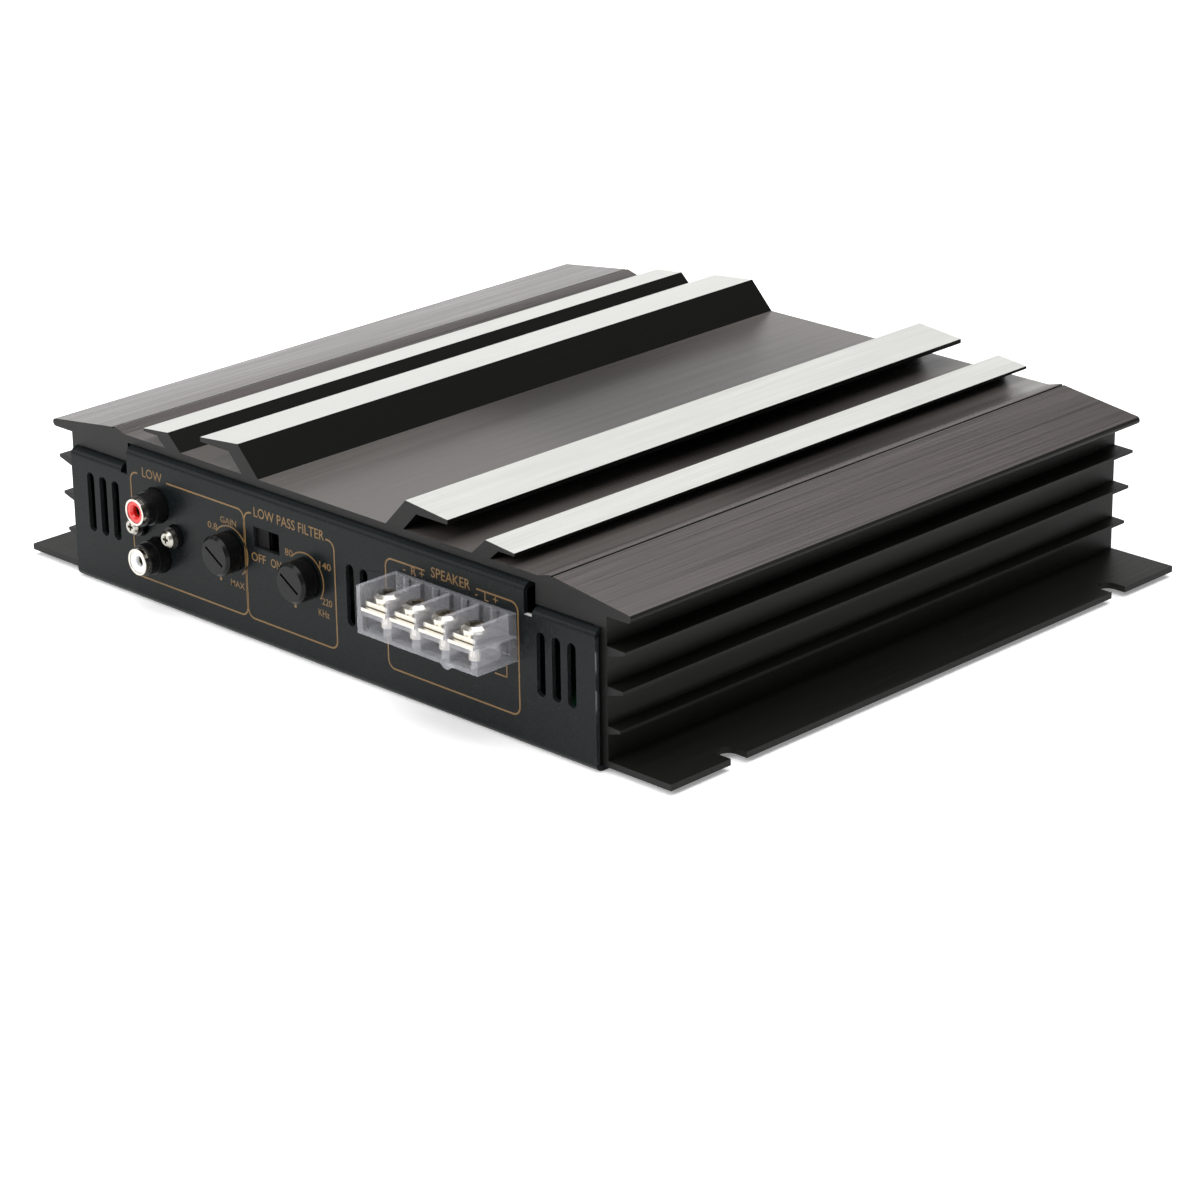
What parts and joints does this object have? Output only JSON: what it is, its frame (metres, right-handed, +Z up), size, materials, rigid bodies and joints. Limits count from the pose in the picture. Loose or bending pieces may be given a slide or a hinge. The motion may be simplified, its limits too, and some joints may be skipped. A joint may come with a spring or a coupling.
{
  "type": "car audio amplifier",
  "caption": "Flat car audio amplifier: finned extruded heatsink case with mounting flanges, folded end panels, phono inputs, rotary controls, clear screw terminals and blade fuses.",
  "frame": {"origin": "middle of the footprint, on the surface the bottom plate and end panels rest on", "axes": "+X across the case towards the speaker terminals' side, +Y from the front panel to the rear panel along the extrusion, +Z up"},
  "size_m": [0.27, 0.254, 0.0588],
  "materials": {
    "anodised_aluminium": "brushed, dark anodised, with bare brushed strips",
    "panel_paint": "satin",
    "black_steel": "black zinc, satin",
    "zinc_steel": "bright zinc",
    "nickel": "polished nickel plate",
    "gold_contact": "polished",
    "board_laminate": "semi-gloss solder mask",
    "black_plastic": "fine satin",
    "red_plastic": "gloss",
    "white_plastic": "gloss",
    "clear_plastic": "clear, slightly smoky",
    "pot_case": "dull zinc",
    "fuse_plastic": "translucent gloss",
    "fuse_zinc": "satin",
    "blue_lamp": "translucent gloss",
    "red_lamp": "translucent gloss",
    "package_epoxy": "satin",
    "silicone_pad": "matt",
    "bare_aluminium": "mill finish",
    "iron_powder": "matt",
    "copper_winding": "enamelled",
    "capacitor_sleeve": "shrunk sleeve, gloss",
    "ceramic_body": "matt"
  },
  "bodies": {
    "case": {"heatsink": "anodised_aluminium", "front_panel": "panel_paint", "rear_panel": "panel_paint", "bottom_plate": "panel_paint", "bottom_screws": "black_steel", "circuit_board": "board_laminate", "board_screws": "zinc_steel", "rca_housing": "black_plastic", "rca_shells": "nickel", "rca_insert_red": "red_plastic", "rca_insert_white": "white_plastic", "rca_contacts": "gold_contact", "rca_screws": "nickel", "gain_pot": "pot_case", "crossover_pot": "pot_case", "switch_body": "black_plastic", "speaker_terminal_base": "clear_plastic", "speaker_terminal_guard": "clear_plastic", "speaker_contacts": "nickel", "power_terminal_base": "clear_plastic", "power_terminal_guard": "clear_plastic", "power_contacts": "nickel", "fuse_holder": "black_plastic", "power_lamp": "blue_lamp", "fault_lamp": "red_lamp", "power_transistors": "package_epoxy", "insulator_pads": "silicone_pad", "clamp_bars": "bare_aluminium", "clamp_screws": "zinc_steel", "toroid_core": "iron_powder", "toroid_winding": "copper_winding", "input_capacitors": "capacitor_sleeve", "rail_capacitors": "capacitor_sleeve", "small_capacitors": "capacitor_sleeve", "control_chips": "package_epoxy", "emitter_resistors": "ceramic_body"},
    "gain_control": {"gain_knob": "black_plastic", "gain_shaft": "zinc_steel"},
    "crossover_control": {"crossover_knob": "black_plastic", "crossover_shaft": "zinc_steel"},
    "crossover_switch": {"switch_slider": "black_plastic"},
    "speaker_clamp_set_1": {"speaker_screw_1": "nickel", "speaker_clamp_1": "nickel"},
    "speaker_clamp_set_2": {"speaker_screw_2": "nickel", "speaker_clamp_2": "nickel"},
    "speaker_clamp_set_3": {"speaker_screw_3": "nickel", "speaker_clamp_3": "nickel"},
    "speaker_clamp_set_4": {"speaker_screw_4": "nickel", "speaker_clamp_4": "nickel"},
    "power_clamp_set_1": {"power_screw_1": "nickel", "power_clamp_1": "nickel"},
    "power_clamp_set_2": {"power_screw_2": "nickel", "power_clamp_2": "nickel"},
    "power_clamp_set_3": {"power_screw_3": "nickel", "power_clamp_3": "nickel"},
    "fuse_1": {"fuse_1_body": "fuse_plastic", "fuse_1_blades": "fuse_zinc"},
    "fuse_2": {"fuse_2_body": "fuse_plastic", "fuse_2_blades": "fuse_zinc"}
  },
  "joints": [
    {"name": "gain_turn", "type": "hinge", "parent": "case", "child": "gain_control", "pos_m": [-0.0377, -0.112, 0.0261], "axis": [0, 1, 0], "range_deg": [-95, 205]},
    {"name": "crossover_turn", "type": "hinge", "parent": "case", "child": "crossover_control", "pos_m": [-0.0051, -0.112, 0.0261], "axis": [0, 1, 0], "range_deg": [-95, 205]},
    {"name": "crossover_switch_slide", "type": "slide", "parent": "case", "child": "crossover_switch", "axis": [1, 0, 0], "range_m": [0, 0.0054]},
    {"name": "speaker_clamp_1_lift", "type": "slide", "parent": "case", "child": "speaker_clamp_set_1", "axis": [0, 0, 1], "range_m": [0, 0.0035]},
    {"name": "speaker_clamp_2_lift", "type": "slide", "parent": "case", "child": "speaker_clamp_set_2", "axis": [0, 0, 1], "range_m": [0, 0.0035]},
    {"name": "speaker_clamp_3_lift", "type": "slide", "parent": "case", "child": "speaker_clamp_set_3", "axis": [0, 0, 1], "range_m": [0, 0.0035]},
    {"name": "speaker_clamp_4_lift", "type": "slide", "parent": "case", "child": "speaker_clamp_set_4", "axis": [0, 0, 1], "range_m": [0, 0.0035]},
    {"name": "power_clamp_1_lift", "type": "slide", "parent": "case", "child": "power_clamp_set_1", "axis": [0, 0, 1], "range_m": [0, 0.0035]},
    {"name": "power_clamp_2_lift", "type": "slide", "parent": "case", "child": "power_clamp_set_2", "axis": [0, 0, 1], "range_m": [0, 0.0035]},
    {"name": "power_clamp_3_lift", "type": "slide", "parent": "case", "child": "power_clamp_set_3", "axis": [0, 0, 1], "range_m": [0, 0.0035]},
    {"name": "fuse_1_pull", "type": "slide", "parent": "case", "child": "fuse_1", "axis": [0, 1, 0], "range_m": [0, 0.011]},
    {"name": "fuse_2_pull", "type": "slide", "parent": "case", "child": "fuse_2", "axis": [0, 1, 0], "range_m": [0, 0.011]}
  ]
}
